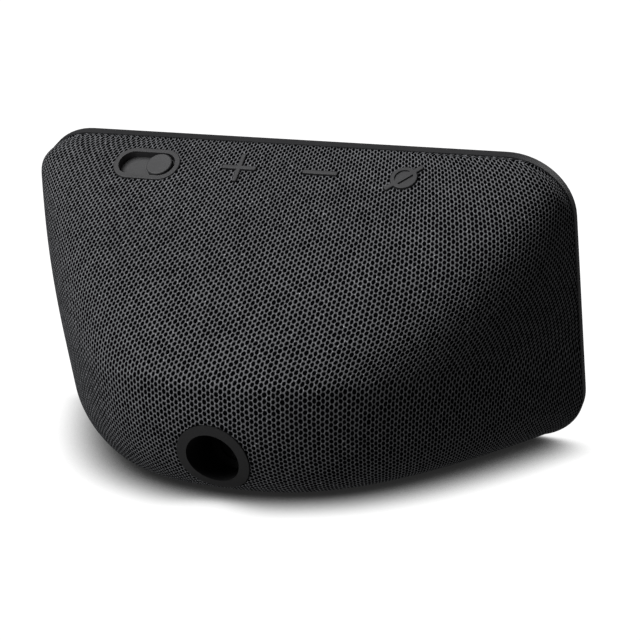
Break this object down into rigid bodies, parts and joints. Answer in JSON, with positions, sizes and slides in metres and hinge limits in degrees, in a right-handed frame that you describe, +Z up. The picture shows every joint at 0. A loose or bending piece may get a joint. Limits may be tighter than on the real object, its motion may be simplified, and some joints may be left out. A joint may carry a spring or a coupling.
{
  "type": "smart home hub",
  "caption": "Leaning touch display hub with a knitted rear cover, push buttons and a camera shutter slider on top, a speaker inside and a round power inlet low at the back.",
  "frame": {"origin": "centre of the bounding box at its bottom face, on the surface the hub stands on", "axes": "+Z up, X across the width, the screen faces -Y and leans back, the rear with the power inlet faces +Y; seen from behind +X is to the left"},
  "size_m": [0.147, 0.0894, 0.0808],
  "materials": {
    "fabric": "open knit, grey with black holes",
    "shell": "moulded, matt black",
    "bezel": "fine texture, mid grey",
    "glass": "black printed cover glass, gloss",
    "rubber_button": "satin dark grey rubber",
    "tray": "satin dark grey",
    "knob": "satin dark grey",
    "collar": "matt charcoal",
    "socket_plastic": "black",
    "pin_metal": "nickel plated",
    "steel": "zinc plated",
    "foam": "closed foam",
    "basket": "black stamped steel",
    "surround": "butyl rubber",
    "cone": "woven look polymer cone",
    "copper": "enamelled copper wire",
    "magnet": "sintered magnet with steel cup",
    "display": "liquid crystal panel, off",
    "tape": "black adhesive foam tape",
    "plate": "die cast, plain",
    "lens": "coated lens",
    "pcb": "green solder mask",
    "chip": "black epoxy",
    "tin": "tin plated sheet",
    "alu": "extruded, bare",
    "flex": "polyimide film",
    "lead": "insulated wire",
    "connector": "ivory nylon",
    "foot": "soft grey rubber"
  },
  "bodies": {
    "housing": {"base_foot": "foot", "base_plate": "shell", "base_screws": "steel", "board_connectors": "connector", "board_posts": "alu", "board_screws": "steel", "button_board": "pcb", "button_flex": "flex", "button_switches": "chip", "camera_bracket": "shell", "camera_flex": "flex", "camera_lens": "lens", "camera_module": "chip", "display_flex": "flex", "display_frame": "bezel", "display_module": "display", "display_plate": "plate", "display_screws": "steel", "fabric_cover": "fabric", "front_glass": "glass", "glass_tape": "tape", "heat_sink": "alu", "light_sensor": "lens", "main_board": "pcb", "memory_chips": "chip", "microphones": "tin", "power_inlet_collar": "collar", "power_lead": "lead", "power_socket": "socket_plastic", "power_socket_pin": "pin_metal", "processor_chip": "chip", "rear_shell": "shell", "shield_can": "tin", "slider_surround": "tray", "speaker_basket": "basket", "speaker_gasket": "foam", "speaker_lead": "lead", "speaker_magnet": "magnet", "speaker_mount": "shell", "speaker_screws": "steel", "speaker_surround": "surround"},
    "shutter": {"slider_knob": "knob", "shutter_carriage": "tray", "shutter_blade": "tray"},
    "volume_up": {"volume_up_button": "rubber_button"},
    "volume_down": {"volume_down_button": "rubber_button"},
    "mic_mute": {"mic_mute_button": "rubber_button"},
    "speaker_diaphragm": {"speaker_cone": "cone", "speaker_dust_cap": "cone", "speaker_voice_coil": "copper"}
  },
  "joints": [
    {"name": "shutter_slide", "type": "slide", "parent": "housing", "child": "shutter", "axis": [0.9998, -0.0189, 0], "range_m": [0, 0.0072]},
    {"name": "volume_up_press", "type": "slide", "parent": "housing", "child": "volume_up", "axis": [-0.0009, -0.63, -0.7766], "range_m": [0, 0.0004], "stiffness_N_per_m": 400},
    {"name": "volume_down_press", "type": "slide", "parent": "housing", "child": "volume_down", "axis": [0.0009, -0.63, -0.7766], "range_m": [0, 0.0004], "stiffness_N_per_m": 400},
    {"name": "mic_mute_press", "type": "slide", "parent": "housing", "child": "mic_mute", "axis": [0.0089, -0.6392, -0.769], "range_m": [0, 0.0004], "stiffness_N_per_m": 400},
    {"name": "diaphragm_travel", "type": "slide", "parent": "housing", "child": "speaker_diaphragm", "axis": [0, 0.6268, 0.7792], "range_m": [-0.001, 0.001], "stiffness_N_per_m": 900}
  ]
}
